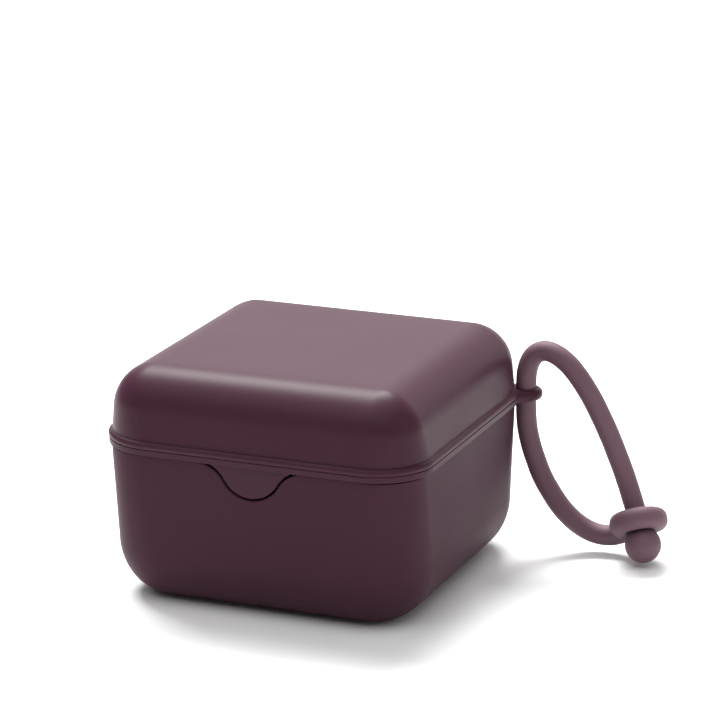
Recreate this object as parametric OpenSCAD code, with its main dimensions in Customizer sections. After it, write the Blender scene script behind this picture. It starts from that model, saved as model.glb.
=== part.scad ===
// Pacifier sterilizer case: a square box with round edges in one plum plastic.
// A domed lid is hinged at the back and closes with a tongue at the front, a
// drain tray stands in the base over the water, and a silicone carrying strap
// runs through an eyelet at the lid's right rear corner.
//
// Millimetres. The origin is the middle of the base's flat foot, +Z is up, the
// front with the tongue faces -Y and the strap hangs on the +X side.

/* [Case] */
// Width and depth of both shells where they meet
case_w = 80; // [76:1:96]
// Height of the seam between the shells above the foot
seam_z = 38; // [34:1:46]
// Height of the lid above the seam
lid_h = 19.6; // [18:0.2:23.6]
// Gap between the shells where the lid seats
seam_gap = 0.3; // [0.2:0.05:0.5]

/* [Base] */
// Radius of the base's upright corners
base_corner_r = 14; // [13.6:0.1:16]
// Radius of the round bottom edge
base_edge_r = 13; // [9:0.5:13]
// Wall thickness of the base
base_wall = 2.2; // [1.8:0.1:3]
// Floor thickness of the base
floor_t = 2.2; // [1.6:0.1:3]
// Lean of the base's walls, in degrees
base_lean = 0.5; // [0:0.25:2]
// Height of the rim that stands up inside the lid
rim_h = 2.6; // [1.6:0.1:2.8]
// Thickness of that rim
rim_t = 1.2; // [1:0.1:1.4]

/* [Lid] */
// How far the lid's wall stands out from the base's wall
lid_out = 0.5; // [0.3:0.1:0.8]
// Radius of the lid's upright corners
lid_corner_r = 13; // [12.4:0.1:13.4]
// Radius of the lid's round top edge
lid_edge_r = 11.2; // [8:0.2:12]
// Wall thickness of the lid
lid_wall = 2.2; // [1.6:0.1:2.4]
// Thickness of the lid's top
lid_top_t = 2.2; // [1.6:0.1:3]
// Lean of the lid's walls, in degrees
lid_lean = 9; // [2:0.5:10]
// Height of the flat band just above the seam
band_h = 1.4; // [1:0.1:1.6]
// How far the band stands out from the lid's wall
band_out = 0.7; // [0.5:0.1:0.8]
// Height of the round bead above the band
bead_h = 2; // [1.6:0.1:2.4]
// How far the bead stands out from the lid's wall
bead_out = 0.85; // [0.6:0.05:1.2]

/* [Tongue] */
// Drop of the tongue's notch below the seam
notch_drop = 8; // [6:0.1:10]
// Radius of the notch's round bottom
notch_tip_r = 8; // [7:0.1:9]
// Radius of the notch's two shoulders
notch_shoulder_r = 8; // [7:0.1:9]
// Gap round the tongue in its notch
tongue_gap = 0.5; // [0.4:0.05:0.7]
// Thickness of the tongue
tongue_t = 1.8; // [1.4:0.1:2.2]

/* [Hinge] */
// Distance of the hinge's axis behind the base's wall
hinge_out = 3.6; // [3.4:0.1:4.2]
// Distance of the hinge's axis below the seam
hinge_drop = 1; // [0.8:0.1:1.6]
// Radius of the hinge's knuckles
knuckle_r = 2.3; // [2:0.1:2.5]
// Radius of the hinge pins
pin_r = 1.2; // [0.9:0.1:1.4]
// Radial play of the lid's knuckles on the pins
pin_play = 0.08; // [0.04:0.01:0.1]
// Distance between the middles of the two hinges
hinge_span = 36; // [34:1:44]
// Length of the lid's knuckle in each hinge
lid_knuckle_l = 7; // [5:0.5:9]
// Length of each of the base's knuckles beside it
base_knuckle_l = 4; // [3:0.5:5]
// Gap between neighbouring knuckles
knuckle_gap = 0.3; // [0.2:0.05:0.5]

/* [Drain tray] */
// Height of the water space under the tray
water_h = 8; // [5:0.5:12]
// Thickness of the tray's plate
tray_t = 1.8; // [1.4:0.1:2.4]
// Height of the edge that stands up round the plate
tray_edge_h = 3.5; // [2:0.5:6]
// Thickness of that edge
tray_edge_t = 1.6; // [1.2:0.1:2]
// Gap between the tray and the base's wall
tray_gap = 0.6; // [0.4:0.1:1]
// Gap between the tray's feet and the floor
foot_gap = 0.25; // [0.2:0.05:0.3]
// Diameter of the drain holes
drain_d = 5; // [3:0.5:6]
// Distance between the drain holes
drain_pitch = 9; // [8:0.5:10]
// Number of drain holes in a row
drain_rows = 7; // [3:2:7]
// Diameter of the tray's feet
foot_d = 5; // [4:0.5:6]
// Height of the two lift tabs above the plate
tab_h = 9; // [7:0.5:14]
// Width of the lift tabs
tab_w = 16; // [12:1:24]

/* [Strap] */
// Diameter of the strap's round cord
cord_d = 5.1; // [4.6:0.1:5.4]
// Radial play of the cord in the eyelet and in the strap's ring
cord_play = 0.05; // [0.03:0.01:0.08]
// Direction of the eyelet from the corner's axis, in degrees from +X
eyelet_turn = 26.5; // [25:0.5:45]
// Gap between the eyelet's hole and the lid's wall
eyelet_gap = 0.1; // [0.1:0.05:0.6]
// Wall round the eyelet's hole
eyelet_wall = 1.5; // [1.3:0.1:2.2]
// Thickness of the strap's ring round its hole
ring_t = 4.6; // [4:0.1:4.8]
// Height of the strap's ring
ring_h = 5.4; // [5:0.1:6]
// Diameter of the ball at the strap's end
ball_d = 9; // [8.4:0.1:10]

/* [Hidden] */
$fn = 64;

// By how much a cut runs past a face
past = 1;
// How far a wall's end lies inside the round edge that it runs into
wall_tuck = 0.005;
plum = "#4b333c";
half_w = case_w / 2;
lid_half = half_w + lid_out;

// Seam: the lid ends at it, and the base one seam gap below it
base_top_z = seam_z - seam_gap;
lid_bottom_z = seam_z;
rim_top_z = base_top_z + rim_h;
lid_step_z = rim_top_z + seam_gap;
rim_half = half_w - base_wall + rim_t;
rim_socket_half = rim_half + seam_gap;
// How far the round bead sinks into the band, which leaves a groove between them
bead_sink = 0.1;
crease_z = lid_bottom_z + band_h + bead_h - bead_sink;
case_h = seam_z + lid_h;

// Axes of the upright corners, as distances from the middle of the case
base_axis = half_w - base_corner_r;
lid_axis = lid_half - lid_corner_r;

// Inside of the base
base_inner_half = half_w - base_wall;
base_inner_edge_r = base_edge_r - base_wall;
base_inner_depth = base_top_z - floor_t;

// Tongue and notch share the middles of their arcs, so the gap is even
notch_bottom_z = seam_z - notch_drop;
tip_z = notch_bottom_z + notch_tip_r;
shoulder_lift = 0.1;
shoulder_z = seam_z + shoulder_lift - notch_shoulder_r;
shoulder_x = sqrt(
    pow(notch_tip_r + notch_shoulder_r, 2) - pow(tip_z - shoulder_z, 2)
);
tongue_inset = 0.1;
tongue_face_y = -half_w + tongue_inset;
// How far the tongue reaches into the lid's wall above the band
tongue_root = 0.2;
// Half the width of the notch where it meets the base's top edge
notch_mouth = shoulder_x - sqrt(
    pow(notch_shoulder_r, 2) - pow(base_top_z - shoulder_z, 2)
);

// Hinge
hinge_y = half_w + hinge_out;
hinge_z = seam_z - hinge_drop;
hinge_x = hinge_span / 2;
// Each base knuckle of a hinge, as its two ends' distances from the middle
base_knuckle_from = lid_knuckle_l / 2 + knuckle_gap;
base_knuckle_to = base_knuckle_from + base_knuckle_l;
// The pins end a little inside the knuckles and sit tight in the base's
pin_recess = 0.3;
pin_l = 2 * (base_knuckle_to - pin_recess);
pin_seat_play = 0.02;
// Gussets under the base's knuckles: their height, the slant where they meet
// the knuckle and their step below the base's top
gusset_h = 7;
gusset_turn = 30;
gusset_lip = 1.5;
gusset_step = 0.2;
// Arms of the lid's knuckles: their turn round the knuckle, how far outside the
// base's wall they start, and how far inside the bead they end
arm_turn = 40;
arm_clear = 0.3;
arm_inset = 0.4;
arm_top = 0.5;

// Tray
tray_z = floor_t + water_h;
tray_top_z = tray_z + tray_t;
tray_half = arc_x(base_inner_half, base_inner_depth, base_inner_edge_r, base_lean,
                  base_top_z - tray_z) - tray_gap;
drain_reach = (drain_rows - 1) / 2 * drain_pitch;
foot_at = drain_reach - drain_pitch / 2;

// Eyelet
hole_r = cord_d / 2 + cord_play;
hole_reach = lid_corner_r + eyelet_gap + hole_r;
hole_x = lid_axis + hole_reach * cos(eyelet_turn);
hole_y = lid_axis + hole_reach * sin(eyelet_turn);
lug_r = hole_r + eyelet_wall;
// How far the lug's top lies below the bead's
lug_step = 0.2;
lug_t = crease_z - lug_step - lid_bottom_z;
lug_edge_r = min(1.5, lug_t / 2, eyelet_wall);
// Sides of the lug: their turns from the eyelet's direction, how far inside the
// lug's round end they start, which leaves it a waist, and their length
lug_spread = 58;
lug_waist = 0.4;
lug_arm_l = 8.2;

// Strap: the route runs along an upright plane through the eyelet's hole. Each
// point is [distance out from the hole, distance behind the plane, height above
// the foot]. It starts in the ball, climbs through the ring and over the top,
// drops through the eyelet and comes round underneath to the ring.
strap_turn = -3;
strap_route = [
    [32.4, -2.4, 5.3], [31.2, -1.2, 7.9], [30.2, 0, 10.1], [28.9, 1.2, 12.7],
    [27.4, 2.3, 15.6], [25.9, 3, 18.9], [24.5, 3.2, 22.3], [23.1, 3.1, 25.7],
    [21.8, 2.8, 29.1], [20.4, 2.4, 32.5], [18.9, 1.9, 35.9], [17.3, 1.4, 39.3],
    [15.5, 0.9, 42.5], [13.4, 0.5, 45.6], [11, 0.2, 48.3], [8.1, 0, 50.3],
    [5.1, 0, 51], [2.6, 0, 50], [1, 0, 47.9], [0.2, 0, 45.2], [0, 0, 42.6],
    [0, 0, 39.7], [0, 0, 36.8], [0.1, 0, 33.6], [0.4, 0, 30.6], [1, 0, 27.8],
    [1.8, 0, 25.1], [2.8, 0, 22.4], [3.9, 0, 19.7], [5.2, 0, 17.2], [6.8, 0.1, 14.7],
    [8.4, 0.2, 12.4], [10.2, 0.4, 10.2], [12.2, 0.8, 8.2], [14.4, 1.3, 6.5],
    [16.9, 1.8, 5.2], [19.7, 2.2, 4.6], [22.6, 2.5, 4.8], [25, 2.7, 5.8],
    [27, 2.9, 7.5]
];
cord_sides = 12;
// The ring's middle, and the lean of its axis towards the case and off the plane
ring_at = [30.2, 0, 10.1];
ring_lean = 22;
ring_tip = 24;
ball_lift = 0.8;
ball_at = [32.4, -2.4, ball_d / 2 + ball_lift];
ring_mid_r = cord_d / 2 + cord_play + ring_t / 2;

// Middle of the round edge of a leaning wall, as its distance from the case's
// middle. rim is the wall's half width at its open end, depth the way to the
// flat face, r the edge's radius and lean the wall's lean.
function edge_x(rim, depth, r, lean) =
    rim - (r + (depth - r) * sin(lean)) / cos(lean);

// Half width of such a wall at the distance s below its open end, on the edge
function arc_x(rim, depth, r, lean, s) =
    edge_x(rim, depth, r, lean) + sqrt(r * r - pow(max(s - depth + r, 0), 2));

// Half of a bowl's section, with its open end at y = 0 and its flat face at
// y = depth. x is measured from the axis of the upright corners.
module bowl_section(rim, depth, r, lean, axis) {
    cx = edge_x(rim, depth, r, lean) - axis;
    cy = depth - r;
    polygon([
        [0, 0],
        [rim - axis, 0],
        [cx, cy] + (r - wall_tuck) * [cos(lean), sin(lean)],
        [cx, cy],
        [cx, depth],
        [0, depth]
    ]);
    translate([cx, cy])
        intersection() {
            circle(r);
            square(r + past);
        }
}

// Carries a section round a square with round corners. The section's x is
// measured from the corners' axis.
module round_frame(axis) {
    for (side = [0:3])
        rotate([0, 0, 90 * side])
            translate([axis, axis, 0]) {
                rotate_extrude(angle = 90)
                    children();
                rotate([90, 0, 0])
                    linear_extrude(2 * axis)
                        children();
            }
}

// The same, filled in the middle from z = low to z = high
module round_block(axis, low, high) {
    round_frame(axis)
        children();
    translate([-axis, -axis, low])
        cube([2 * axis, 2 * axis, high - low]);
}

// A straight-sided block with round corners
module round_slab(half, axis, low, high) {
    round_block(axis, low, high)
        translate([0, low])
            square([half - axis, high - low]);
}

// The bell outline that the tongue and its notch share, in the case's x and z.
// grow widens the notch's outline, or narrows it where it is below zero.
module bell(grow, top) {
    tip_r = notch_tip_r + grow;
    shoulder_r = notch_shoulder_r - grow;
    reach = notch_tip_r + notch_shoulder_r;
    join_x = tip_r * shoulder_x / reach;
    join_z = tip_z - tip_r * (tip_z - shoulder_z) / reach;
    difference() {
        union() {
            intersection() {
                translate([0, tip_z])
                    circle(tip_r);
                translate([-tip_r, tip_z - tip_r - past])
                    square([2 * tip_r, top - tip_z + tip_r + past]);
            }
            polygon([
                [-join_x, join_z],
                [join_x, join_z],
                [shoulder_x, shoulder_z + shoulder_r],
                [shoulder_x, top],
                [-shoulder_x, top],
                [-shoulder_x, shoulder_z + shoulder_r]
            ]);
        }
        for (side = [-1, 1])
            translate([side * shoulder_x, shoulder_z])
                circle(shoulder_r);
    }
}

// Stands an outline drawn in x and z upright, from y = near to y = far
module upright(near, far) {
    translate([0, far, 0])
        rotate([90, 0, 0])
            linear_extrude(far - near)
                children();
}

// A round bar on the hinge's axis, from x = from to x = to
module hinge_bar(r, from, to) {
    translate([from, hinge_y, hinge_z])
        rotate([0, 90, 0])
            cylinder(r = r, h = to - from);
}

// A knuckle of the base with the gusset that carries it
module base_knuckle() {
    hinge_bar(knuckle_r, base_knuckle_from, base_knuckle_to);
    translate([base_knuckle_from, 0, 0])
        rotate([90, 0, 90])
            linear_extrude(base_knuckle_l)
                polygon([
                    [half_w - base_wall / 2, hinge_z - gusset_h],
                    [
                        hinge_y - knuckle_r * cos(gusset_turn),
                        hinge_z - knuckle_r * sin(gusset_turn) - gusset_lip
                    ],
                    [hinge_y, hinge_z - knuckle_r],
                    [hinge_y, hinge_z],
                    [hinge_y - knuckle_r * sin(gusset_turn), base_top_z - gusset_step],
                    [half_w - base_wall / 2, base_top_z - gusset_step]
                ]);
}

module base_shell() {
    color(plum)
        difference() {
            union() {
                translate([0, 0, base_top_z])
                    mirror([0, 0, 1])
                        round_block(base_axis, 0, base_top_z)
                            bowl_section(half_w, base_top_z, base_edge_r, base_lean,
                                         base_axis);
                round_slab(rim_half, base_axis, base_top_z - past, rim_top_z);
                for (hinge = [-1, 1])
                    for (side = [-1, 1])
                        translate([hinge * hinge_x, 0, 0])
                            mirror([side < 0 ? 1 : 0, 0, 0])
                                base_knuckle();
            }
            translate([0, 0, base_top_z])
                mirror([0, 0, 1])
                    round_block(base_axis, 0, base_inner_depth)
                        bowl_section(base_inner_half, base_inner_depth,
                                     base_inner_edge_r, base_lean, base_axis);
            round_slab(base_inner_half, base_axis, base_top_z - past,
                       rim_top_z + past);
            upright(-half_w - past, -base_inner_half + past)
                bell(tongue_gap / 2, base_top_z + past);
            translate([-notch_mouth, -half_w - past, base_top_z])
                cube([2 * notch_mouth, base_wall + 2 * past, rim_h + past]);
            for (hinge = [-1, 1])
                translate([hinge * hinge_x, 0, 0])
                    hinge_bar(pin_r + pin_seat_play, -pin_l, pin_l);
        }
}

// The rounded edge of the eyelet's lug, as a section with its outside at x = 0
module lug_edge(depth) {
    translate([-depth, 0])
        square([depth - lug_edge_r, lug_t]);
    translate([-lug_edge_r - past, lug_edge_r])
        square([lug_edge_r + past, lug_t - 2 * lug_edge_r]);
    for (z = [lug_edge_r, lug_t - lug_edge_r])
        translate([-lug_edge_r, z])
            circle(lug_edge_r);
}

// One side of the lug, a straight run from its round end into the bead
module lug_side(side) {
    turn = eyelet_turn + side * lug_spread;
    translate([hole_x, hole_y, lid_bottom_z])
        rotate([0, 0, turn])
            translate([lug_r - lug_waist, side > 0 ? lug_arm_l : 0, 0])
                rotate([90, 0, 0])
                    linear_extrude(lug_arm_l)
                        lug_edge(lug_r - lug_waist);
}

// The lug at the right rear corner, with the eyelet's hole still to be cut
module eyelet_lug() {
    translate([hole_x, hole_y, lid_bottom_z])
        rotate_extrude()
            intersection() {
                translate([lug_r, 0])
                    lug_edge(lug_r);
                square([lug_r, lug_t]);
            }
    lug_side(-1);
    lug_side(1);
}

// The lid's knuckle in the middle of one hinge and the arm that carries it
module lid_knuckle() {
    hinge_bar(knuckle_r, -lid_knuckle_l / 2, lid_knuckle_l / 2);
    translate([-lid_knuckle_l / 2, 0, 0])
        rotate([90, 0, 90])
            linear_extrude(lid_knuckle_l)
                polygon([
                    [half_w + arm_clear, lid_bottom_z],
                    [hinge_y - knuckle_r, hinge_z],
                    [hinge_y + knuckle_r, hinge_z],
                    [
                        hinge_y + knuckle_r * sin(arm_turn),
                        hinge_z + knuckle_r * cos(arm_turn)
                    ],
                    [lid_half + bead_out - arm_inset, crease_z - arm_top],
                    [half_w + arm_clear, crease_z - arm_top]
                ]);
}

module lid_shell() {
    bead_r = bead_h / 2;
    color(plum)
        difference() {
            union() {
                translate([0, 0, lid_step_z])
                    round_block(lid_axis, 0, case_h - lid_step_z)
                        bowl_section(lid_half, case_h - lid_step_z, lid_edge_r, lid_lean,
                                     lid_axis);
                round_slab(lid_half, lid_axis, lid_bottom_z, lid_step_z);
                round_slab(lid_half + band_out, lid_axis, lid_bottom_z,
                           lid_bottom_z + band_h);
                round_slab(lid_half + bead_out - bead_r, lid_axis, crease_z - bead_h,
                           crease_z);
                round_frame(lid_axis)
                    translate([lid_corner_r + bead_out - bead_r, crease_z - bead_r])
                        circle(bead_r);
                eyelet_lug();
                for (hinge = [-1, 1])
                    translate([hinge * hinge_x, 0, 0])
                        lid_knuckle();
            }
            translate([0, 0, lid_step_z - past])
                round_block(lid_axis, 0, case_h - lid_top_t - lid_step_z + past)
                    translate([0, past])
                        lid_cavity_section();
            round_slab(rim_socket_half, base_axis, lid_bottom_z - past, lid_step_z);
            for (hinge = [-1, 1])
                translate([hinge * hinge_x, 0, 0])
                    hinge_bar(pin_r + pin_play, -lid_knuckle_l, lid_knuckle_l);
            translate([hole_x, hole_y, lid_bottom_z - past])
                cylinder(r = hole_r, h = crease_z - lid_bottom_z + 2 * past);
        }
    color(plum)
        tongue();
}

// Section of the lid's inside, above the step that the base's rim stops under
module lid_cavity_section() {
    bowl_section(lid_half - lid_wall, case_h - lid_top_t - lid_step_z,
                 lid_edge_r - lid_wall, lid_lean, lid_axis);
    translate([0, -past])
        square([lid_corner_r - lid_wall, 2 * past]);
}

// The tongue that hangs from the lid's band into the base's notch
module tongue() {
    upright(tongue_face_y, tongue_face_y + tongue_t)
        intersection() {
            bell(-tongue_gap / 2, lid_step_z + tongue_root);
            translate([-notch_mouth + tongue_gap, 0])
                square([2 * (notch_mouth - tongue_gap), case_h]);
        }
}

// The pin of the hinge at x, held in both of that hinge's base knuckles
module hinge_pin(x) {
    color(plum)
        hinge_bar(pin_r, x - pin_l / 2, x + pin_l / 2);
}

module hinge_pin_left() {
    hinge_pin(-hinge_x);
}

module hinge_pin_right() {
    hinge_pin(hinge_x);
}

// The strainer that carries the pacifiers above the water. Its plate, edge and
// feet are one moulding, kept as three nodes that meet face to face.
module drain_tray() {
    color(plum)
        difference() {
            round_slab(tray_half, base_axis, tray_z, tray_top_z);
            for (column = [0 : drain_rows - 1])
                for (row = [0 : drain_rows - 1])
                    translate([
                        column * drain_pitch - drain_reach,
                        row * drain_pitch - drain_reach,
                        tray_z - past
                    ])
                        cylinder(d = drain_d, h = tray_t + 2 * past);
        }
}

// The raised edge of the tray, with its two lift tabs
module tray_edge() {
    color(plum) {
        round_frame(base_axis)
            translate([tray_half - base_axis - tray_edge_t, tray_top_z])
                square([tray_edge_t, tray_edge_h]);
        for (side = [-1, 1])
            translate([side * (tray_half - tray_edge_t / 2) - tray_edge_t / 2,
                       -tab_w / 2, tray_top_z])
                cube([tray_edge_t, tab_w, tab_h]);
    }
}

module tray_feet() {
    foot_z = floor_t + foot_gap;
    color(plum)
        for (x = [-foot_at, foot_at])
            for (y = [-foot_at, foot_at])
                translate([x, y, foot_z])
                    cylinder(d = foot_d, h = tray_z - foot_z);
}

// Direction of the strap's route at point k, from its neighbours
function route_way(k) =
    let (
        last = len(strap_route) - 1,
        way = strap_route[min(k + 1, last)] - strap_route[max(k - 1, 0)]
    )
    way / norm(way);

// Ring of points round the route at point k
function cord_ring(k) =
    let (
        way = route_way(k),
        flat = cross(way, [0, 1, 0]),
        side = flat / norm(flat),
        across = cross(side, way),
        r = cord_d / 2
    )
    [
        for (step = [0 : cord_sides - 1])
            let (turn = 360 / cord_sides * step)
            strap_route[k] + r * (cos(turn) * side + sin(turn) * across)
    ];

// Puts the strap's own plane at the eyelet
module at_eyelet() {
    translate([hole_x, hole_y, 0])
        rotate([0, 0, strap_turn])
            children();
}

module strap_cord() {
    rings = len(strap_route);
    points = [for (k = [0 : rings - 1]) each cord_ring(k)];
    skin = [
        for (k = [0 : rings - 2])
            for (step = [0 : cord_sides - 1])
                let (
                    a = k * cord_sides + step,
                    b = k * cord_sides + (step + 1) % cord_sides
                )
                each [[a, b, a + cord_sides], [b, b + cord_sides, a + cord_sides]]
    ];
    near_end = [for (step = [1 : cord_sides - 2]) [0, step + 1, step]];
    first = (rings - 1) * cord_sides;
    far_end = [for (step = [1 : cord_sides - 2]) [first, first + step, first + step + 1]];
    color(plum)
        at_eyelet()
            polyhedron(points = points, faces = concat(skin, near_end, far_end));
}

// The ring that the ball end is drawn through
module strap_ring() {
    rise = (ring_h - ring_t) / 2;
    color(plum)
        at_eyelet()
            translate(ring_at)
                rotate([-ring_tip, -ring_lean, 0])
                    rotate_extrude()
                        translate([ring_mid_r, 0]) {
                            for (end = [-1, 1])
                                translate([0, end * rise])
                                    circle(d = ring_t);
                            translate([-ring_t / 2, -rise])
                                square([ring_t, 2 * rise]);
                        }
}

module strap_ball() {
    color(plum)
        at_eyelet()
            translate(ball_at)
                sphere(d = ball_d);
}

base_shell();
lid_shell();
drain_tray();
tray_edge();
tray_feet();
hinge_pin_left();
hinge_pin_right();
strap_cord();
strap_ring();
strap_ball();
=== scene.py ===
"""Looks of the pacifier sterilizer case: a plum plastic box with a domed lid and a silicone strap.

Everything is in metres, so 12.8e-3 is 12.8 mm. +Z is up, the front with the
tongue faces -Y, and the strap hangs on the +X side.
"""

import math

import bmesh
import bpy
import numpy as np
from mathutils import Matrix, Vector


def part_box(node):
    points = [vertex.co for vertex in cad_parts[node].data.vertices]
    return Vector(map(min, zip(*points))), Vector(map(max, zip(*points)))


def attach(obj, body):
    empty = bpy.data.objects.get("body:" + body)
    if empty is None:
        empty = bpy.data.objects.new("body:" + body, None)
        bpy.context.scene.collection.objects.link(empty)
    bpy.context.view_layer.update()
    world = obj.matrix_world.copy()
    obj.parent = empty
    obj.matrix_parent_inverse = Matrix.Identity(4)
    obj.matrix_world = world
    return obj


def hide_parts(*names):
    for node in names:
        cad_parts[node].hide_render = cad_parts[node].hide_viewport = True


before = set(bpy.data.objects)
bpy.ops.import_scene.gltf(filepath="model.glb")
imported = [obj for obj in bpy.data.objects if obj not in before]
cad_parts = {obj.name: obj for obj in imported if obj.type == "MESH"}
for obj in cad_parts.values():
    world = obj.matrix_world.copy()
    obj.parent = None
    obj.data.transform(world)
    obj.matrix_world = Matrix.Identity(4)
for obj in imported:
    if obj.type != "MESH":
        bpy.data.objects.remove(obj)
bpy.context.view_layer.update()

# Shells where they meet: half their width, the seam and the gap in it
HALF_W = 40e-3
SEAM_Z = 38e-3
SEAM_GAP = 0.3e-3
BASE_TOP_Z = SEAM_Z - SEAM_GAP
CASE_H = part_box("lid_shell")[1].z
# The floor, the lid's top and the tray are one flat face up to here at least
FLAT_HALF = 22e-3
# Rounds and bevels on the edges of cuts and knuckles
FINE_EDGE_R = 0.25e-3
SOFT_EDGE_R = 0.4e-3
# How far a cutter reaches past what it cuts, and an added part into what it stands on
OVERRUN = 1e-3

# Base. Its bottom edge is an oval round, and the axes of its upright corners
# move in from the seam down to that edge, so the corners open out.
BASE_WALL = 2.2e-3
BASE_FLOOR = 2.2e-3
BASE_LOW_HALF = 40.1e-3
BASE_EDGE_W = 11.5e-3
BASE_EDGE_H = 14.1e-3
BASE_TOP_AXIS = 28.8e-3
BASE_LOW_AXIS = 24.8e-3
RIM_H = 2.6e-3
RIM_T = 1.2e-3

# Lid. The axes of its corners move out from the bead up to the round top edge.
LID_WALL = 2.2e-3
LID_TOP_T = 2.2e-3
LID_LEAN = math.radians(8.5)
LID_EDGE_R = 11.15e-3
CREASE_Z = 41.3e-3
CREASE_HALF = 40.35e-3
LID_LOW_AXIS = 27.1e-3
LID_TOP_AXIS = 28.7e-3
BEAD_R = 1.05e-3
BEAD_HALF = 40.3e-3
# The bead's round ends so many degrees under its middle, in the groove over the band
GROOVE_TURN = 48
BAND_HALF = 41.2e-3
BAND_TOP_Z = 39.47e-3

# Rim of the base inside the lid's skirt, and the step that it stops under
RIM_TOP_Z = BASE_TOP_Z + RIM_H
LID_STEP_Z = RIM_TOP_Z + SEAM_GAP
RIM_HALF = HALF_W - BASE_WALL + RIM_T
SOCKET_HALF = RIM_HALF + SEAM_GAP
# Inside this half width the lid's underside follows the socket for the rim
SOCKET_MOUTH = SOCKET_HALF + 0.3e-3

# Tongue and notch: one bell outline, of a tip arc between two shoulder arcs
TIP_R = 8e-3
TIP_Z = 38e-3
SHOULDER_R = 8e-3
SHOULDER_X = 13.91e-3
SHOULDER_Z = 30.1e-3
TONGUE_GAP = 0.5e-3
TONGUE_T = 1.8e-3
TONGUE_FACE_Y = -39.9e-3
TONGUE_HALF = 11e-3

# Hinges at the back: where their pins run, and where their middles are
HINGE_Y = 43.6e-3
HINGE_Z = 37e-3
HINGES = (-18e-3, 18e-3)
KNUCKLE_R = 2.3e-3
PIN_R = 1.2e-3
LID_KNUCKLE = (-3.5e-3, 3.5e-3)
BASE_KNUCKLE = (3.8e-3, 7.8e-3)
# The gusset under a knuckle of the base, and the arm to a knuckle of the lid
GUSSET_LOW_Z = HINGE_Z - 7e-3
GUSSET_CORNER = (HINGE_Y - 2e-3, HINGE_Z - 2.65e-3)
GUSSET_TOP_Y = HINGE_Y - 2.1e-3
GUSSET_TOP_Z = BASE_TOP_Z - 0.2e-3
ARM_ROOT_Y = HALF_W + 0.3e-3
ARM_TOP_Y = BEAD_HALF + 0.6e-3
ARM_TOP_Z = CREASE_Z - 0.5e-3
# The pins sit tight in the base's knuckles, and the lid's knuckles turn on them
BASE_PIN_GAP = 0.02e-3
BASE_PIN_HOLE = 9e-3
LID_PIN_GAP = 0.08e-3
LID_PIN_HOLE = 5e-3

# Drain tray
TRAY_LOW_Z = 10.2e-3
TRAY_T = 1.8e-3
TRAY_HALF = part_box("drain_tray")[1].x
TRAY_AXIS = 25e-3
TRAY_EDGE_H = 3.5e-3
TRAY_EDGE_T = 1.6e-3
DRAIN_R = 2.5e-3
DRAIN_PITCH = 9e-3
DRAIN_ROWS = 7
TAB_H = 9e-3
TAB_HALF = 8e-3
TAB_CORNER_R = 4e-3
TAB_EDGE_R = 0.5e-3
FOOT_R = 2.5e-3
FOOT_EDGE_R = 0.5e-3
FOOT_MIDDLE_R = 0.5e-3
# How far the feet reach into the plate
FOOT_SINK = 0.5e-3
FOOT_LOW_Z = 2.45e-3

# Eyelet in the lid's right rear corner
HOLE_X = 41.55e-3
HOLE_Y = 34.505e-3
HOLE_R = 2.6e-3
LUG_R = 4.1e-3
LUG_EDGE_R = 1.5e-3
LUG_TOP_Z = 41.1e-3
# Hidden line in the lid's wall that the lug's two hollow flanks grow out of
LUG_ROOT = 40.2e-3
LUG_FRONT_R = 9e-3
LUG_BACK_R = 6e-3
# Inside this half width the lug is cut away, so that it doesn't reach into the lid
LUG_CORE = LUG_ROOT - 0.7e-3

# Strap. Its route runs along an upright plane through the eyelet's hole: each
# point is the distance out from the hole, the distance behind the plane and the
# height above the foot. It starts in the knob, climbs through the ring and over
# the top, drops through the eyelet and comes round underneath to the ring.
CORD_R = 2.55e-3
STRAP_TURN = math.radians(-3)
STRAP_OUT = Vector((math.cos(STRAP_TURN), math.sin(STRAP_TURN), 0))
STRAP_SIDE = Vector((-math.sin(STRAP_TURN), math.cos(STRAP_TURN), 0))
STRAP_ROUTE = (
    (32.4e-3, -2.4e-3, 5.3e-3), (31.2e-3, -1.2e-3, 7.9e-3), (30.2e-3, 0, 10.1e-3),
    (28.9e-3, 1.2e-3, 12.7e-3), (27.4e-3, 2.3e-3, 15.6e-3), (25.9e-3, 3e-3, 18.9e-3),
    (24.5e-3, 3.2e-3, 22.3e-3), (23.1e-3, 3.1e-3, 25.7e-3), (21.8e-3, 2.8e-3, 29.1e-3),
    (20.4e-3, 2.4e-3, 32.5e-3), (18.9e-3, 1.9e-3, 35.9e-3), (17.3e-3, 1.4e-3, 39.3e-3),
    (15.5e-3, 0.9e-3, 42.5e-3), (13.4e-3, 0.5e-3, 45.6e-3), (11e-3, 0.2e-3, 48.3e-3),
    (8.1e-3, 0, 50.3e-3), (5.1e-3, 0, 51e-3), (2.6e-3, 0, 50e-3), (1e-3, 0, 47.9e-3),
    (0.2e-3, 0, 45.2e-3), (0, 0, 42.6e-3), (0, 0, 39.7e-3), (0, 0, 36.8e-3),
    (0.1e-3, 0, 33.6e-3), (0.4e-3, 0, 30.6e-3), (1e-3, 0, 27.8e-3), (1.8e-3, 0, 25.1e-3),
    (2.8e-3, 0, 22.4e-3), (3.9e-3, 0, 19.7e-3), (5.2e-3, 0, 17.2e-3), (6.8e-3, 0.1e-3, 14.7e-3),
    (8.4e-3, 0.2e-3, 12.4e-3), (10.2e-3, 0.4e-3, 10.2e-3), (12.2e-3, 0.8e-3, 8.2e-3),
    (14.4e-3, 1.3e-3, 6.5e-3), (16.9e-3, 1.8e-3, 5.2e-3), (19.7e-3, 2.2e-3, 4.6e-3),
    (22.6e-3, 2.5e-3, 4.8e-3), (25e-3, 2.7e-3, 5.8e-3), (27e-3, 2.9e-3, 7.5e-3),
)
EYELET_POINT = 21
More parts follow.
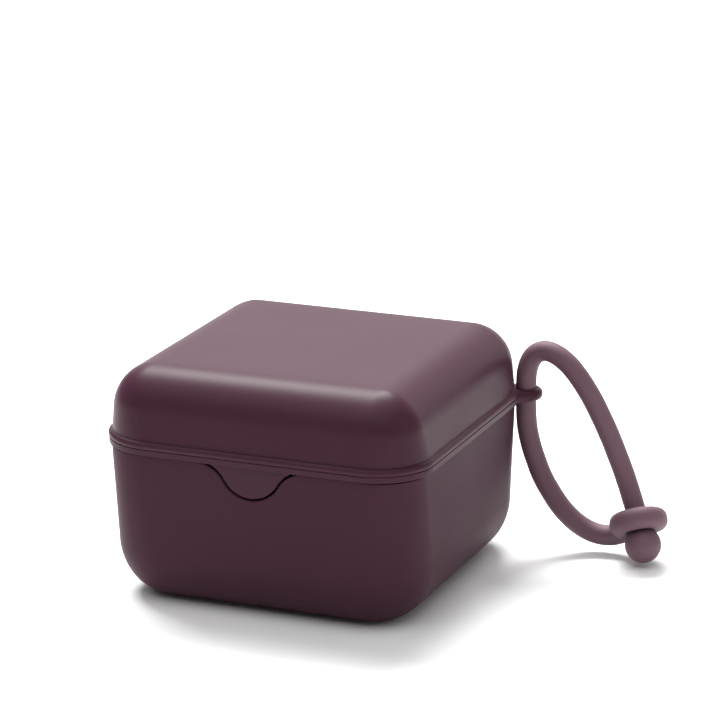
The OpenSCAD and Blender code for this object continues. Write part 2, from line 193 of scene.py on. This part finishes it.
# The ring, the lean of its axis towards the case and off the strap's plane, and
# its upright oval section: a round of RING_TUBE_R moved up and down by RING_RISE
RING_AT = (30.2e-3, 0, 10.1e-3)
RING_LEAN = math.radians(22)
RING_TIP = math.radians(24)
RING_R = 4.9e-3
RING_TUBE_R = 2.3e-3
RING_RISE = 0.4e-3
# The ring melts into the last points of its cord, with a hollow of this width
STUB_POINTS = 18
RING_BLEND = 2.4e-3
KNOB_AT = (32.4e-3, -2.4e-3, 5.3e-3)
KNOB_R = 4.5e-3
# Ring and knob lie over the ends of their cords by this much
SLEEVE = 0.02e-3
# The knob's neck: its radius at heights above the knob's middle
KNOB_NECK = ((CORD_R + 0.1e-3, 4e-3), (CORD_R + SLEEVE, 4.6e-3), (CORD_R + SLEEVE, 6e-3))

# Fineness of the meshes
CORNER_STEPS = 24
SIDE_CUTS = 8
ARC_TURN = math.radians(9)
EDGE_STEPS = 4
CORD_SIDES = 40
CORD_CUTS = 4
RING_STEPS = 64
FINE_SIDES = 64
ROUND_SIDES = 48
SMALL_SIDES = 32
# Wrapping mesh of the ring, and how its points are moved to the true surface
RING_VOXEL = 0.25e-3
PROBE = 1e-5
SETTLE_ROUNDS = 8
LEAST_SLOPE = 0.25

# Plastics: how light bends in them, the slow drift over them and the pale veil
PLASTIC_IOR = 1.49
DRIFT_SCALE = 45
ROUGHNESS_DRIFT = 0.04
VEIL_COLOUR = "#b08096"
VEIL_ROUGHNESS = 0.4

# Studio: a sheet of paper just under the case, and an even light all round
FLOOR_HALF = 3
FLOOR_TOP_Z = -1e-4
FLOOR_LOW_Z = -1e-3
PAPER_WHITE = (0.9, 0.9, 0.9, 1)
PAPER_ROUGHNESS = 0.9
ROOM_LIGHT = 0.15


# ---------------------------------------------------------------- camera

def add_camera():
    """A long lens in front, to the right and above, fitted to the photograph's outlines."""
    data = bpy.data.cameras.new("camera")
    data.lens = 178.4
    data.sensor_width = 36
    data.clip_start = 0.05
    data.clip_end = 20
    camera = bpy.data.objects.new("camera", data)
    camera.location = (0.327416, -0.759589, 0.300133)
    aim = Vector((0.004167, 0.017489, 0.048693))
    roll = Matrix.Rotation(math.radians(-0.37), 4, "Z")
    look = (aim - camera.location).to_track_quat("-Z", "Y").to_matrix().to_4x4()
    camera.matrix_world = Matrix.Translation(camera.location) @ look @ roll
    bpy.context.scene.collection.objects.link(camera)
    bpy.context.scene.camera = camera


# ---------------------------------------------------------------- lines

def arc(centre, radius, start, end, steps):
    """Points on a circle from one angle to another, in degrees."""
    points = []
    for k in range(steps + 1):
        turn = math.radians(start + (end - start) * k / steps)
        points.append((centre[0] + radius * math.cos(turn), centre[1] + radius * math.sin(turn)))
    return points


def oval(centre, width, height, start, end, steps=16):
    """Points on an oval from one angle to another, in degrees."""
    return [(centre[0] + width * x, centre[1] + height * y)
            for x, y in arc((0, 0), 1, start, end, steps)]


def rounded(corners):
    """A line through corners given as (x, y, radius), each rounded by its own radius."""
    line = []
    for k, (x, y, radius) in enumerate(corners):
        here = Vector((x, y))
        if not radius:
            line.append((x, y))
            continue
        back = (Vector(corners[k - 1][:2]) - here).normalized()
        on = (Vector(corners[(k + 1) % len(corners)][:2]) - here).normalized()
        half = back.angle(on) / 2
        centre = here + (back + on).normalized() * (radius / math.sin(half))
        first = here + back * (radius / math.tan(half)) - centre
        turn = math.copysign(math.pi - 2 * half, back.y * on.x - back.x * on.y)
        steps = max(2, math.ceil(abs(turn) / ARC_TURN))
        for step in range(steps + 1):
            way = turn * step / steps
            line.append((
                centre.x + first.x * math.cos(way) - first.y * math.sin(way),
                centre.y + first.x * math.sin(way) + first.y * math.cos(way),
            ))
    return line


def quarter_round(radius, steps=EDGE_STEPS):
    """How far in and how far up a rounded edge is, from its foot to the flat face."""
    turns = [math.pi / 2 * step / steps for step in range(steps + 1)]
    return [(radius * (1 - math.sin(turn)), radius * (1 - math.cos(turn))) for turn in turns]


def square_ring(half, axis, z):
    """One turn round a square with round corners, whose upright axes are axis from the middle."""
    radius = max(half - axis, 0)
    reach = half - radius
    quarter = [(half, reach * (2 * k / SIDE_CUTS - 1)) for k in range(SIDE_CUTS)]
    quarter += arc((reach, reach), radius, 0, 90, CORNER_STEPS)[:-1]
    ring = []
    for _ in range(4):
        ring += [(x, y, z) for x, y in quarter]
        quarter = [(-y, x) for x, y in quarter]
    return ring


def smooth_line(points, cuts):
    """A Catmull-Rom curve through the points, with that many steps between two of them."""
    points = [Vector(p) for p in points]
    padded = [2 * points[0] - points[1], *points, 2 * points[-1] - points[-2]]
    line = []
    for a, b, c, d in zip(padded, padded[1:], padded[2:], padded[3:]):
        for k in range(cuts):
            t = k / cuts
            line.append(0.5 * (
                2 * b + (c - a) * t + (2 * a - 5 * b + 4 * c - d) * t ** 2
                + (3 * b - a - 3 * c + d) * t ** 3
            ))
    return line + [points[-1]]


# ---------------------------------------------------------------- meshes

def add_object(name, mesh):
    """A mesh as an object of the scene."""
    piece = bpy.data.objects.new(name, mesh)
    bpy.context.scene.collection.objects.link(piece)
    return piece


def skin(name, rings, closed=False):
    """A closed surface over rings of as many points each, capped at both ends or joined in a loop."""
    size = len(rings[0])
    mesh = bmesh.new()
    rows = [[mesh.verts.new(p) for p in ring] for ring in rings]
    pairs = list(zip(rows, rows[1:]))
    if closed:
        pairs.append((rows[-1], rows[0]))
    for low, high in pairs:
        for k in range(size):
            n = (k + 1) % size
            mesh.faces.new((low[k], low[n], high[n], high[k]))
    if not closed:
        mesh.faces.new(rows[0])
        mesh.faces.new(rows[-1])
    bmesh.ops.recalc_face_normals(mesh, faces=mesh.faces)
    data = bpy.data.meshes.new(name)
    mesh.to_mesh(data)
    mesh.free()
    return add_object(name, data)


def inset(outline, depth):
    """A closed counter-clockwise outline drawn in by depth."""
    moved = []
    for k, point in enumerate(outline):
        before = (Vector(point) - Vector(outline[k - 1])).normalized()
        after = (Vector(outline[(k + 1) % len(outline)]) - Vector(point)).normalized()
        normal = Vector((-before.y - after.y, before.x + after.x))
        normal = normal / max(normal.length_squared / 2, 1e-6)
        moved.append((point[0] + depth * normal.x, point[1] + depth * normal.y))
    return moved


def prism(name, outline, low, high, edge, place, steps=EDGE_STEPS):
    """An outline between two heights with rounded rims. place turns (x, y, height) to a point."""
    rings = [(depth, low + rise) for depth, rise in quarter_round(edge, steps)]
    rings += [(depth, low + high - height) for depth, height in reversed(rings)]
    return skin(name, [
        [place(x, y, height) for x, y in inset(outline, depth)] for depth, height in rings
    ])


def lathe(name, profile, place, sides=ROUND_SIDES):
    """A profile of (radius, height) turned round the height axis, closed at both ends."""
    return skin(name, [
        [place(r * math.cos(math.tau * k / sides), r * math.sin(math.tau * k / sides), height)
         for k in range(sides)]
        for r, height in profile
    ])


def join(pieces):
    """Several pieces as one, just laid together."""
    mesh = bmesh.new()
    for piece in pieces:
        mesh.from_mesh(piece.data)
        bpy.data.objects.remove(piece)
    data = bpy.data.meshes.new("joined")
    mesh.to_mesh(data)
    mesh.free()
    return add_object("joined", data)


def apply_modifiers(piece):
    """Puts the piece's modifiers into its mesh."""
    graph = bpy.context.evaluated_depsgraph_get()
    data = bpy.data.meshes.new_from_object(piece.evaluated_get(graph))
    piece.modifiers.clear()
    piece.data = data
    data.name = piece.name


def combine(piece, other, operation):
    """Adds the other piece to this one, or cuts it out of this one."""
    cut = piece.modifiers.new("cut", "BOOLEAN")
    cut.operation = operation
    cut.solver = "EXACT"
    cut.object = other
    apply_modifiers(piece)
    bpy.data.objects.remove(other)


def shade(piece, angle=38):
    """Smooth shading that breaks at sharp edges and leaves flat faces flat."""
    mesh = bmesh.new()
    mesh.from_mesh(piece.data)
    bmesh.ops.remove_doubles(mesh, verts=mesh.verts, dist=2e-6)
    bmesh.ops.dissolve_degenerate(mesh, edges=mesh.edges, dist=1e-6)
    for face in mesh.faces:
        face.smooth = True
    for edge in mesh.edges:
        edge.smooth = len(edge.link_faces) == 2 and edge.calc_face_angle() < math.radians(angle)
    mesh.to_mesh(piece.data)
    mesh.free()
    weighted = piece.modifiers.new("flat_faces", "WEIGHTED_NORMAL")
    weighted.keep_sharp = True
    apply_modifiers(piece)


# ---------------------------------------------------------------- shells

def between(low, high, z, low_z, high_z):
    """Slides from low at low_z to high at high_z, and stays there beyond them."""
    return low + (high - low) * min(max((z - low_z) / (high_z - low_z), 0), 1)


def base_ring(half, z):
    """A turn round the base. Its corners open out from the seam down to the bottom edge."""
    return square_ring(half, between(BASE_LOW_AXIS, BASE_TOP_AXIS, z, BASE_EDGE_H, BASE_TOP_Z), z)


def lid_ring(half, z):
    """A turn round the lid, or round the socket in it that takes the base's rim."""
    if z <= LID_STEP_Z and half < SOCKET_MOUTH:
        return square_ring(half, BASE_TOP_AXIS, z)
    return square_ring(half, between(LID_LOW_AXIS, LID_TOP_AXIS, z, CREASE_Z,
                                     CASE_H - LID_EDGE_R), z)


def bell(grow, top, steps=14):
    """The outline of the tongue, or of its notch, from its left shoulder round to its right one."""
    meet = math.degrees(math.atan2(TIP_Z - SHOULDER_Z, SHOULDER_X))
    left = arc((-SHOULDER_X, SHOULDER_Z), SHOULDER_R - grow, 90, meet, steps)
    tip = arc((0, TIP_Z), TIP_R + grow, 180 + meet, 360 - meet, 2 * steps)
    right = arc((SHOULDER_X, SHOULDER_Z), SHOULDER_R - grow, 180 - meet, 90, steps)
    line = left + tip[1:-1] + right
    return [(line[0][0], top), *line, (line[-1][0], top)]


def notch_cutter():
    """Cuts the bell notch through the front wall and rounds its outer edge."""
    layers = [(-2 * OVERRUN, FINE_EDGE_R)]
    layers += [(depth, grow) for grow, depth in quarter_round(FINE_EDGE_R)]
    layers.append((BASE_WALL + OVERRUN, 0))
    return skin("notch", [
        [(x, depth - HALF_W, z) for x, z in bell(TONGUE_GAP / 2 + grow, RIM_TOP_Z + 2 * OVERRUN)]
        for depth, grow in layers
    ])


def along_x(offset):
    """Lays an outline in y and z across the case, moved along it by offset."""
    return lambda y, z, x: (x + offset, y, z)


def upright(x, y, z):
    """Leaves an outline in x and y lying flat."""
    return (x, y, z)


def base_knuckle(name, offset, side):
    """A knuckle of the base on its gusset, under the seam."""
    low, high = sorted((side * BASE_KNUCKLE[0], side * BASE_KNUCKLE[1]))
    wall = HALF_W - BASE_WALL / 2
    outline = [
        (wall, GUSSET_LOW_Z),
        GUSSET_CORNER,
        *arc((HINGE_Y, HINGE_Z), KNUCKLE_R, -90, 150, steps=24),
        (GUSSET_TOP_Y, GUSSET_TOP_Z),
        (wall, GUSSET_TOP_Z),
    ]
    return prism(name, outline, low, high, FINE_EDGE_R, along_x(offset))


def drill_pin_holes(piece, radius, half):
    """Cuts the holes for both hinge pins, to that distance on both sides of each hinge's middle."""
    holes = [
        lathe("pin_hole", [(radius, -half), (radius, half)],
              lambda y, z, x, offset=offset: (x + offset, HINGE_Y + y, HINGE_Z + z))
        for offset in HINGES
    ]
    combine(piece, join(holes), "DIFFERENCE")


def make_base():
    """The base: a shell with a round bottom edge, its rim, its notch and its knuckles."""
    inner = HALF_W - BASE_WALL
    edge = (BASE_LOW_HALF - BASE_EDGE_W, BASE_EDGE_H)
    outside = oval(edge, BASE_EDGE_W, BASE_EDGE_H, -90, 0)
    inside = oval(edge, BASE_EDGE_W - BASE_WALL, BASE_EDGE_H - BASE_FLOOR, 0, -90)
    profile = rounded([
        (FLAT_HALF, 0, 0),
        *[(x, z, 0) for x, z in outside],
        (HALF_W, BASE_TOP_Z, FINE_EDGE_R),
        (RIM_HALF, BASE_TOP_Z, 0.2e-3),
        (RIM_HALF, RIM_TOP_Z, 0.3e-3),
        (inner, RIM_TOP_Z, 0.3e-3),
        *[(x, z, 0) for x, z in inside],
        (FLAT_HALF, BASE_FLOOR, 0),
    ])
    base = skin("base", [base_ring(half, z) for half, z in profile])
    for offset in HINGES:
        for side in (-1, 1):
            combine(base, base_knuckle("knuckle", offset, side), "UNION")
    combine(base, notch_cutter(), "DIFFERENCE")
    drill_pin_holes(base, PIN_R + BASE_PIN_GAP, BASE_PIN_HOLE)
    shade(base)
    return base


def make_tongue():
    """The tongue, with a rounded rim, hanging from the lid's band."""
    line = [(x, z) for x, z in bell(-TONGUE_GAP / 2, LID_STEP_Z) if abs(x) < TONGUE_HALF]
    outline = [(line[0][0], LID_STEP_Z), *line, (line[-1][0], LID_STEP_Z)]

    def place(x, z, depth):
        return (x, TONGUE_FACE_Y + depth, z)

    return prism("tongue", outline, 0, TONGUE_T, FINE_EDGE_R, place)


def make_lug():
    """The eyelet's lug: a round slab that grows out of the bead by two hollow flanks."""
    hole = Vector((HOLE_X, HOLE_Y))
    corner = Vector((LID_LOW_AXIS, LID_LOW_AXIS))
    # Front flank: a hollow arc that touches the wall's line and the lug's circle
    rise = math.sqrt((LUG_R + LUG_FRONT_R) ** 2 - (LUG_ROOT + LUG_FRONT_R - HOLE_X) ** 2)
    front = Vector((LUG_ROOT + LUG_FRONT_R, HOLE_Y - rise))
    # Rear flank: one that touches the round corner and the lug's circle
    away = hole - corner
    root = LUG_ROOT - LID_LOW_AXIS + LUG_BACK_R
    swing = math.atan2(away.y, away.x) + math.acos(
        (root ** 2 + away.length_squared - (LUG_R + LUG_BACK_R) ** 2) / (2 * root * away.length)
    )
    back = corner + root * Vector((math.cos(swing), math.sin(swing)))

    def way(start, end):
        return math.degrees(math.atan2(end.y - start.y, end.x - start.x))

    outline = [(LID_LOW_AXIS, front.y)]
    outline += arc(front, LUG_FRONT_R, 180, way(front, hole), steps=16)
    outline += arc(hole, LUG_R, way(hole, front), way(hole, back), steps=36)[1:-1]
    outline += arc(back, LUG_BACK_R, way(back, hole), way(back, corner), steps=14)
    outline.append(tuple(corner))
    lug = prism("lug", outline, SEAM_Z, LUG_TOP_Z, LUG_EDGE_R, upright, steps=10)
    core = skin("core", [
        square_ring(LUG_CORE, LID_LOW_AXIS, z) for z in (SEAM_Z - OVERRUN, CREASE_Z + OVERRUN)
    ])
    combine(lug, core, "DIFFERENCE")
    return lug


def lid_knuckle(offset):
    """The lid's knuckle of one hinge, on an arm from the bead."""
    outline = [
        (ARM_ROOT_Y, SEAM_Z),
        *arc((HINGE_Y, HINGE_Z), KNUCKLE_R, 180, 410, steps=24),
        (ARM_TOP_Y, ARM_TOP_Z),
        (ARM_ROOT_Y, ARM_TOP_Z),
    ]
    return prism("lid_knuckle", outline, *LID_KNUCKLE, FINE_EDGE_R, along_x(offset))


def hole_cutter():
    """The eyelet's hole, with rounded edges."""
    low = [(HOLE_R + SOFT_EDGE_R, SEAM_Z - OVERRUN)]
    low += [(HOLE_R + depth, SEAM_Z + rise) for depth, rise in quarter_round(SOFT_EDGE_R)]
    profile = low + [(r, SEAM_Z + LUG_TOP_Z - z) for r, z in reversed(low)]
    return lathe("eyelet_hole", profile, lambda x, y, z: (HOLE_X + x, HOLE_Y + y, z), FINE_SIDES)


def make_lid():
    """The lid: dome, bead and band in one, its tongue, the eyelet's lug and its knuckles."""
    top_x = CREASE_HALF - (CASE_H - CREASE_Z) * math.tan(LID_LEAN)
    inner = CREASE_HALF - LID_WALL
    inner_top_z = CASE_H - LID_TOP_T
    inner_top_x = inner - (inner_top_z - CREASE_Z) * math.tan(LID_LEAN)
    bead = arc((BEAD_HALF, CREASE_Z - BEAD_R), BEAD_R, 84, -GROOVE_TURN, steps=24)
    profile = rounded([
        (FLAT_HALF, CASE_H, 0),
        (top_x, CASE_H, LID_EDGE_R),
        (CREASE_HALF, CREASE_Z, 0),
        *[(x, z, 0) for x, z in bead],
        (BAND_HALF, BAND_TOP_Z, 0.15e-3),
        (BAND_HALF, SEAM_Z, 0.2e-3),
        (SOCKET_HALF, SEAM_Z, 0.2e-3),
        (SOCKET_HALF, LID_STEP_Z, 0.2e-3),
        (inner, LID_STEP_Z, 0.3e-3),
        (inner_top_x, inner_top_z, LID_EDGE_R - LID_WALL),
        (FLAT_HALF, inner_top_z, 0),
    ])
    lid = skin("lid", [lid_ring(half, z) for half, z in profile])
    combine(lid, make_tongue(), "UNION")
    combine(lid, make_lug(), "UNION")
    for offset in HINGES:
        combine(lid, lid_knuckle(offset), "UNION")
    combine(lid, hole_cutter(), "DIFFERENCE")
    drill_pin_holes(lid, PIN_R + LID_PIN_GAP, LID_PIN_HOLE)
    shade(lid)
    return lid


# ---------------------------------------------------------------- tray

def make_tray():
    """The strainer: a plate with a raised edge, drain holes, two lift tabs and four feet."""
    high = TRAY_LOW_Z + TRAY_T
    edge_top = high + TRAY_EDGE_H
    profile = rounded([
        (FLAT_HALF, TRAY_LOW_Z, 0),
        (TRAY_HALF, TRAY_LOW_Z, 0.6e-3),
        (TRAY_HALF, edge_top, 0.7e-3),
        (TRAY_HALF - TRAY_EDGE_T, edge_top, 0.7e-3),
        (TRAY_HALF - TRAY_EDGE_T, high, 0.8e-3),
        (FLAT_HALF, high, 0),
    ])
    tray = skin("tray", [square_ring(half, TRAY_AXIS, z) for half, z in profile])
    tab_top = high + TAB_H
    outline = rounded([
        (-TAB_HALF, high - OVERRUN, 0),
        (TAB_HALF, high - OVERRUN, 0),
        (TAB_HALF, tab_top, TAB_CORNER_R),
        (-TAB_HALF, tab_top, TAB_CORNER_R),
    ])
    for side in (-1, 1):
        low, top = sorted((side * TRAY_HALF, side * (TRAY_HALF - TRAY_EDGE_T)))
        combine(tray, prism("tab", outline, low, top, TAB_EDGE_R, along_x(0)), "UNION")
    foot_at = (DRAIN_ROWS - 2) / 2 * DRAIN_PITCH
    feet = []
    for x in (-foot_at, foot_at):
        for y in (-foot_at, foot_at):
            profile = rounded([
                (FOOT_MIDDLE_R, FOOT_LOW_Z, 0),
                (FOOT_R, FOOT_LOW_Z, FOOT_EDGE_R),
                (FOOT_R, TRAY_LOW_Z + FOOT_SINK, 0),
            ])
            feet.append(lathe("foot", profile, lambda a, b, z, x=x, y=y: (x + a, y + b, z),
                              SMALL_SIDES))
    combine(tray, join(feet), "UNION")
    rows = [(k - (DRAIN_ROWS - 1) / 2) * DRAIN_PITCH for k in range(DRAIN_ROWS)]
    flare = [
        (DRAIN_R + SOFT_EDGE_R, TRAY_LOW_Z - OVERRUN),
        (DRAIN_R + SOFT_EDGE_R, TRAY_LOW_Z),
        (DRAIN_R, TRAY_LOW_Z + SOFT_EDGE_R),
        (DRAIN_R, high - SOFT_EDGE_R),
        (DRAIN_R + SOFT_EDGE_R, high),
        (DRAIN_R + SOFT_EDGE_R, high + OVERRUN),
    ]
    holes = [
        lathe("drain", flare, lambda a, b, z, x=x, y=y: (x + a, y + b, z), SMALL_SIDES)
        for x in rows for y in rows
    ]
    combine(tray, join(holes), "DIFFERENCE")
    shade(tray)
    return tray


# ---------------------------------------------------------------- strap

def on_strap(out, behind, z):
    """A point given by its distances out from the eyelet's hole and behind the strap's plane."""
    return Vector((HOLE_X, HOLE_Y, z)) + out * STRAP_OUT + behind * STRAP_SIDE


def tube(name, line):
    """The strap's round cord along a line."""
    rings = []
    for k, point in enumerate(line):
        way = (line[min(k + 1, len(line) - 1)] - line[max(k - 1, 0)]).normalized()
        out = way.cross(STRAP_SIDE).normalized()
        side = out.cross(way)
        rings.append([
            point + CORD_R * (math.cos(turn) * out + math.sin(turn) * side)
            for turn in (math.tau * s / CORD_SIDES for s in range(CORD_SIDES))
        ])
    return skin(name, rings)


def strap_line(route):
    """The smooth middle line of the cord along a part of the strap's route."""
    return smooth_line([on_strap(*point) for point in route], CORD_CUTS)


def length_of(line):
    """The length of a line."""
    return sum((b - a).length for a, b in zip(line, line[1:]))


def ring_gap(points, centre, axis):
    """How far points are outside the ring."""
    away = points - np.array(centre)
    height = away @ np.array(axis)
    across = np.sqrt(np.maximum((away ** 2).sum(1) - height ** 2, 0))
    return np.hypot(across - RING_R, np.maximum(np.abs(height) - RING_RISE, 0)) - RING_TUBE_R


def tube_gap(points, line, radius):
    """How far points are outside a tube along a line."""
    best = np.full(len(points), np.inf)
    for a, b in zip(line, line[1:]):
        a, run = np.array(a), np.array(b - a)
        share = np.clip((points - a) @ run / (run @ run), 0, 1)
        best = np.minimum(best, np.linalg.norm(points - a - share[:, None] * run, axis=1))
    return best - radius


def melted(one, other, width):
    """Joins two distances with a hollow blend of that width."""
    share = np.maximum(width - np.abs(one - other), 0) / width
    return np.minimum(one, other) - share ** 2 * width / 4


def settle(piece, gap, voxel):
    """Wraps the piece in a fine mesh and moves its points to where gap is nought."""
    wrap = piece.modifiers.new("wrap", "REMESH")
    wrap.mode = "VOXEL"
    wrap.voxel_size = voxel
    apply_modifiers(piece)
    points = np.zeros(len(piece.data.vertices) * 3, np.float32)
    piece.data.vertices.foreach_get("co", points)
    points = points.reshape(-1, 3).astype(float)
    for _ in range(SETTLE_ROUNDS):
        here = gap(points)
        slope = np.stack([
            (gap(points + PROBE * axis) - gap(points - PROBE * axis)) / (2 * PROBE)
            for axis in np.eye(3)
        ], axis=1)
        points -= here[:, None] * slope / np.maximum((slope ** 2).sum(1), LEAST_SLOPE)[:, None]
    piece.data.vertices.foreach_set("co", points.astype(np.float32).ravel())
    piece.data.update()
    for face in piece.data.polygons:
        face.use_smooth = True


def make_ring(lower):
    """The strap's ring, melted into the end of the cord that carries it."""
    centre = on_strap(*RING_AT)
    axis = (math.sin(RING_TIP) * STRAP_SIDE - math.sin(RING_LEAN) * math.cos(RING_TIP) * STRAP_OUT
            + Vector((0, 0, math.cos(RING_LEAN) * math.cos(RING_TIP))))
    across = STRAP_SIDE.cross(axis).normalized()
    along = axis.cross(across)
    section = [(RING_R + x, math.copysign(RING_RISE, y) + y)
               for x, y in arc((0, 0), RING_TUBE_R, 5, 365, steps=24)[:-1]]
    rings = []
    for k in range(RING_STEPS):
        turn = math.tau * k / RING_STEPS
        way = math.cos(turn) * across + math.sin(turn) * along
        rings.append([centre + x * way + y * axis for x, y in section])
    stub = lower[-STUB_POINTS:]
    ring = join([skin("eye", rings, closed=True), tube("stub", stub)])
    ring.name = "ring"

    def gap(points):
        return melted(ring_gap(points, centre, axis), tube_gap(points, stub, CORD_R + SLEEVE),
                      RING_BLEND)

    settle(ring, gap, RING_VOXEL)
    return ring


def make_knob(upper):
    """The knob at the strap's end: a ball with a short hollow neck up to the cord."""
    way = (upper[-1 - CORD_CUTS] - upper[-1]).normalized()
    side = way.cross(STRAP_SIDE).normalized()
    across = side.cross(way)
    centre = on_strap(*KNOB_AT)
    ball = arc((0, 0), KNOB_R, -88, 50, steps=36)

    def place(x, y, up):
        return centre + x * side + y * across + up * way

    knob = lathe("knob", [*ball, *KNOB_NECK], place, FINE_SIDES)
    shade(knob, angle=60)
    return knob


# ---------------------------------------------------------------- materials

def linear(colour):
    """A colour such as #4b333c as linear light."""
    values = [int(colour[k:k + 2], 16) / 255 for k in (1, 3, 5)]
    return (*[v / 12.92 if v <= 0.04045 else ((v + 0.055) / 1.055) ** 2.4 for v in values], 1)


def add_node(tree, kind, settings=None, **links):
    """Adds a node, sets its inputs or options, and links outputs to its inputs."""
    made = tree.nodes.new(kind)
    for name, value in (settings or {}).items():
        if name in made.inputs:
            made.inputs[name].default_value = value
        else:
            setattr(made, name, value)
    for name, output in links.items():
        tree.links.new(output, made.inputs[name.replace("_", " ")])
    return made


def moulded(name, colour, shade_colour, roughness, grain, depth, specular, veil):
    """A moulded surface: one colour with slow drift, and a fine grain from the mould.

    Grain and depth are the grain's width and height. The veil is the paler plum
    that the grain shows where it is seen at a flat angle.
    """
    material = bpy.data.materials.new(name)
    material.use_nodes = True
    tree = material.node_tree
    tree.nodes.clear()
    place = add_node(tree, "ShaderNodeTexCoord").outputs["Object"]
    drift = add_node(tree, "ShaderNodeTexNoise", {"Scale": DRIFT_SCALE, "Detail": 3}, Vector=place)
    mix = add_node(tree, "ShaderNodeMix", {"data_type": "RGBA"})
    tree.links.new(drift.outputs["Fac"], mix.inputs["Factor"])
    for socket in mix.inputs:
        if socket.type == "RGBA":
            socket.default_value = linear(colour if socket.name == "A" else shade_colour)
    speck = add_node(tree, "ShaderNodeTexNoise", {"Scale": 1 / grain, "Detail": 2}, Vector=place)
    spread = add_node(tree, "ShaderNodeMapRange",
                      {"To Min": roughness - ROUGHNESS_DRIFT,
                       "To Max": roughness + ROUGHNESS_DRIFT},
                      Value=drift.outputs["Fac"])
    bump = add_node(tree, "ShaderNodeBump", {"Strength": 1, "Distance": depth},
                    Height=speck.outputs["Fac"])
    colour_out = next(s for s in mix.outputs if s.type == "RGBA")
    body = add_node(tree, "ShaderNodeBsdfPrincipled",
                    {"IOR": PLASTIC_IOR, "Specular IOR Level": specular, "Sheen Weight": veil,
                     "Sheen Roughness": VEIL_ROUGHNESS, "Sheen Tint": linear(VEIL_COLOUR)},
                    Base_Color=colour_out, Roughness=spread.outputs["Result"],
                    Normal=bump.outputs["Normal"])
    add_node(tree, "ShaderNodeOutputMaterial", Surface=body.outputs["BSDF"])
    return material


def dress(piece, material):
    """Gives the piece one material."""
    piece.data.materials.clear()
    piece.data.materials.append(material)


# ---------------------------------------------------------------- studio

def add_softbox(name, place, aim, width, height, power):
    """A soft light of that width and height, turned to what it aims at, with its power in watts."""
    data = bpy.data.lights.new(name, "AREA")
    data.shape = "RECTANGLE"
    data.size = width
    data.size_y = height
    data.energy = power
    light = bpy.data.objects.new(name, data)
    look = (Vector(aim) - Vector(place)).to_track_quat("-Z", "Y").to_matrix().to_4x4()
    light.matrix_world = Matrix.Translation(place) @ look
    bpy.context.scene.collection.objects.link(light)


def add_studio():
    """A pale floor under a large soft light from above and in front, and a weak one to the right.

    A strip behind the case gives the lid's front edge its sheen, and a low light behind
    gives the top its own.
    """
    corners = ((-1, -1), (1, -1), (1, 1), (-1, 1))
    floor = skin("floor", [
        [(x * FLOOR_HALF, y * FLOOR_HALF, z) for x, y in corners]
        for z in (FLOOR_TOP_Z, FLOOR_LOW_Z)
    ])
    paper = bpy.data.materials.new("white_paper")
    paper.use_nodes = True
    surface = paper.node_tree.nodes["Principled BSDF"]
    surface.inputs["Base Color"].default_value = PAPER_WHITE
    surface.inputs["Roughness"].default_value = PAPER_ROUGHNESS
    dress(floor, paper)
    add_softbox("overhead", (0, -0.45, 1.3), (0, 0, 0), width=2.0, height=1.5, power=14)
    add_softbox("right", (1.0, -0.1, 0.5), (0, 0, 0.03), width=0.7, height=0.7, power=1.3)
    add_softbox("strip", (-0.37, 0.53, 1.11), (0, 0, 0.05), width=1.0, height=0.4, power=36)
    add_softbox("back", (-0.2, 1.38, 0.6), (0, 0, 0.05), width=2.6, height=1.1, power=10.5)
    world = bpy.data.worlds.new("studio")
    world.use_nodes = True
    background = world.node_tree.nodes["Background"]
    background.inputs["Color"].default_value = (1, 1, 1, 1)
    background.inputs["Strength"].default_value = ROOM_LIGHT
    bpy.context.scene.world = world
    bpy.context.scene.view_settings.view_transform = "Standard"


# ---------------------------------------------------------------- assembly

add_camera()

upper_line = strap_line(STRAP_ROUTE[EYELET_POINT::-1])
lower_line = strap_line(STRAP_ROUTE[EYELET_POINT:])
upper_cord = tube("upper_cord", upper_line)
lower_cord = tube("lower_cord", lower_line)
ring = make_ring(lower_line)
knob = make_knob(upper_line)

length_of(upper_line)
length_of(lower_line)
for piece in (upper_cord, lower_cord):
    for face in piece.data.polygons:
        face.use_smooth = True
    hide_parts("strap_cord")
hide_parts("strap_ring")
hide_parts("strap_ball")
for piece in (upper_cord, lower_cord, ring, knob):
    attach(piece, "strap")

base = make_base()
lid = make_lid()
tray = make_tray()
for piece, body, *nodes in ((base, "base", "base_shell"), (lid, "lid", "lid_shell"),
                            (tray, "tray", "drain_tray", "tray_edge", "tray_feet")):
    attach(piece, body)
    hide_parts(*nodes)

# Plum polypropylene from a fine-grained mould: soft highlights and a pale veil on the top
polypropylene = moulded("satin_moulded_polypropylene", "#402230", "#3d202d", roughness=0.4,
                        grain=0.4e-3, depth=6e-6, specular=0.125, veil=0.12)
# The same plastic with a duller grain, so the base mirrors less of the floor beside it; its plum is
# greyer than the lid's, a painted reflection of that floor
dull_painted_sheen_polypropylene = moulded("dull_moulded_polypropylene_painted_sheen", "#422834", "#3f2631", roughness=0.45,
                             grain=0.4e-3, depth=6e-6, specular=0.05, veil=0.12)
# Silicone of the same plum: duller, so the round strap looks lighter and evenly lit
silicone = moulded("matte_moulded_silicone", "#674b57", "#634854", roughness=0.6,
                   grain=0.3e-3, depth=5e-6, specular=0.35, veil=0)
for piece in (lid, tray):
    dress(piece, polypropylene)
dress(base, dull_painted_sheen_polypropylene)
for piece in (upper_cord, lower_cord, ring, knob):
    dress(piece, silicone)
for name in ("hinge_pin_left", "hinge_pin_right"):
    for material_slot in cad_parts[name].material_slots:
        material_slot.material = polypropylene

add_studio()
